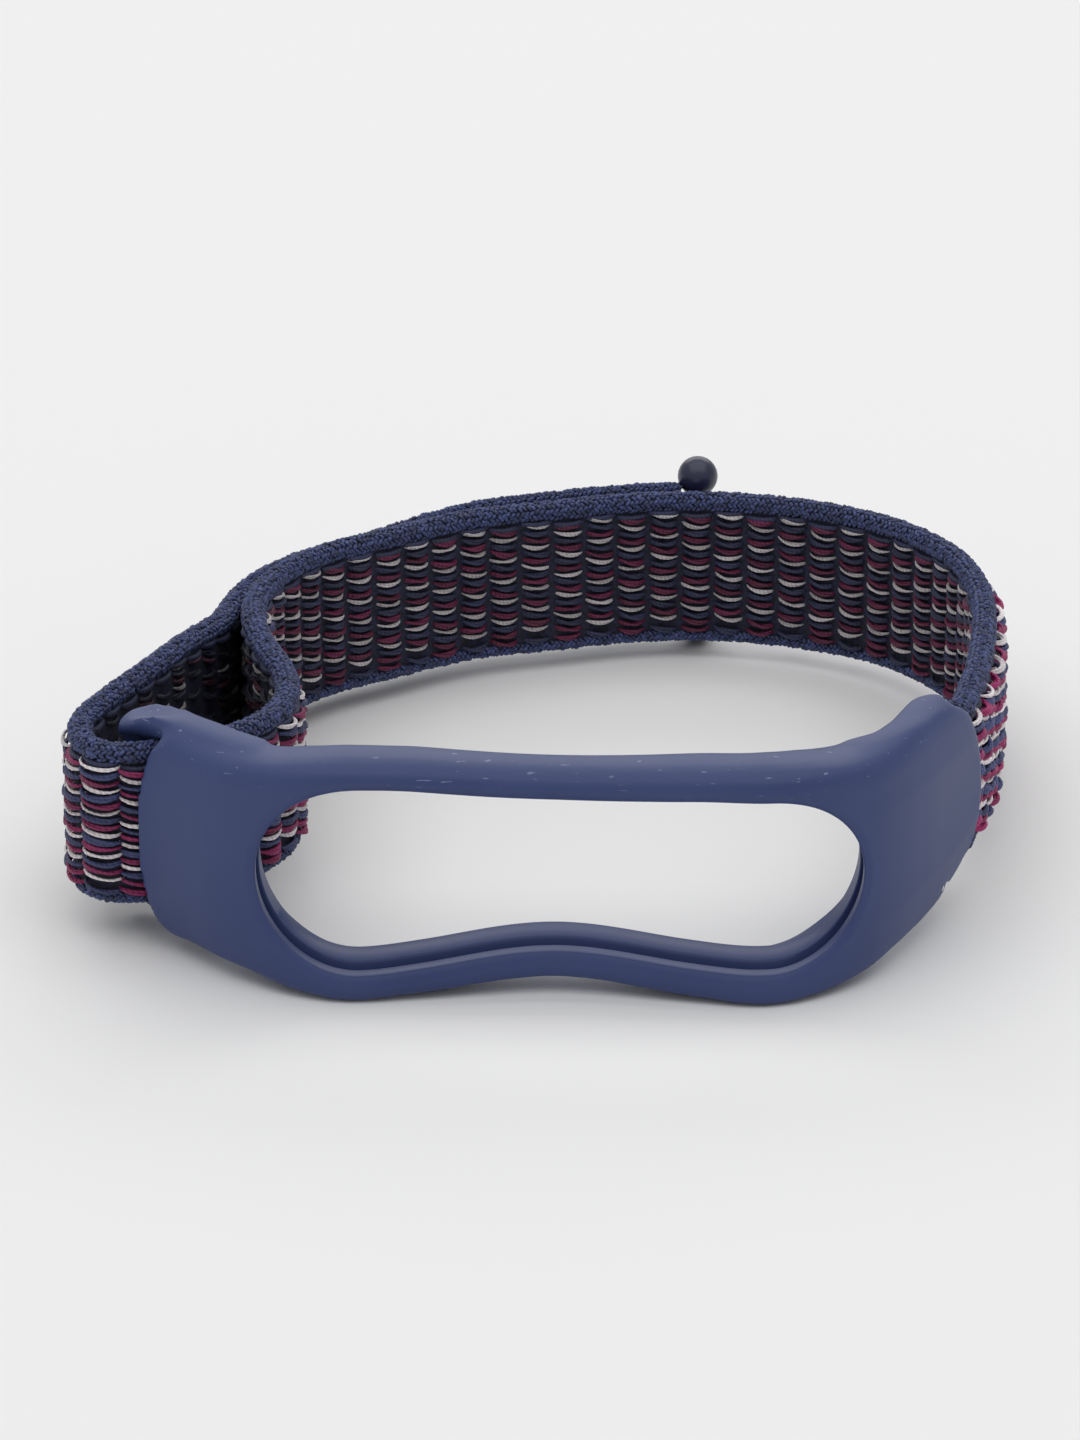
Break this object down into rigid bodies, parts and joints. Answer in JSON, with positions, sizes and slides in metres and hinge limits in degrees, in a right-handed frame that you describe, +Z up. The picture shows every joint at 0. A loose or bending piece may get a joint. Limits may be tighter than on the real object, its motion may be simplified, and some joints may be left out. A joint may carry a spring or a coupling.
{
  "type": "fitness tracker band",
  "caption": "Woven wrist band with a soft moulded frame that holds a pill-shaped fitness tracker; its free end peels open to release the loop.",
  "frame": {"origin": "under the middle of the whole band, on the surface that it stands on", "axes": "+X from the slot ear to the hood ear of the tracker frame, +Y from the frame to the back of the strap, +Z up, across the strap's width"},
  "size_m": [0.0744, 0.0732, 0.0202],
  "materials": {
    "frame": "satin",
    "weave": "woven",
    "selvage": "woven",
    "thread": "matte",
    "hook_tape": "matte",
    "stopper": "satin"
  },
  "bodies": {
    "band": {"tracker_frame": "frame", "strap_web": "weave", "strap_edge_top": "selvage", "strap_edge_bottom": "selvage", "fold_stitching_1": "thread", "fold_stitching_2": "thread"},
    "tail_1": {"tail_1_web": "weave", "tail_1_edge_top": "selvage", "tail_1_edge_bottom": "selvage"},
    "tail_2": {"tail_2_web": "weave", "tail_2_edge_top": "selvage", "tail_2_edge_bottom": "selvage"},
    "tail_3": {"tail_3_web": "weave", "tail_3_edge_top": "selvage", "tail_3_edge_bottom": "selvage"},
    "tail_4": {"tail_4_web": "weave", "tail_4_edge_top": "selvage", "tail_4_edge_bottom": "selvage", "hook_patch": "hook_tape", "stopper_bar": "stopper"}
  },
  "joints": [
    {"name": "tail_1_peel", "type": "hinge", "parent": "band", "child": "tail_1", "pos_m": [-0.03004, -0.00111, 0.0095], "axis": [0, 0, 1], "range_deg": [0, 35]},
    {"name": "tail_2_peel", "type": "hinge", "parent": "tail_1", "child": "tail_2", "pos_m": [-0.02566, 0.01293, 0.0085], "axis": [0, 0, 1], "range_deg": [0, 35]},
    {"name": "tail_3_peel", "type": "hinge", "parent": "tail_2", "child": "tail_3", "pos_m": [-0.01599, 0.02465, 0.0075], "axis": [0, 0, 1], "range_deg": [0, 35]},
    {"name": "tail_4_peel", "type": "hinge", "parent": "tail_3", "child": "tail_4", "pos_m": [-0.00275, 0.03174, 0.008], "axis": [0, 0, 1], "range_deg": [0, 35]}
  ]
}
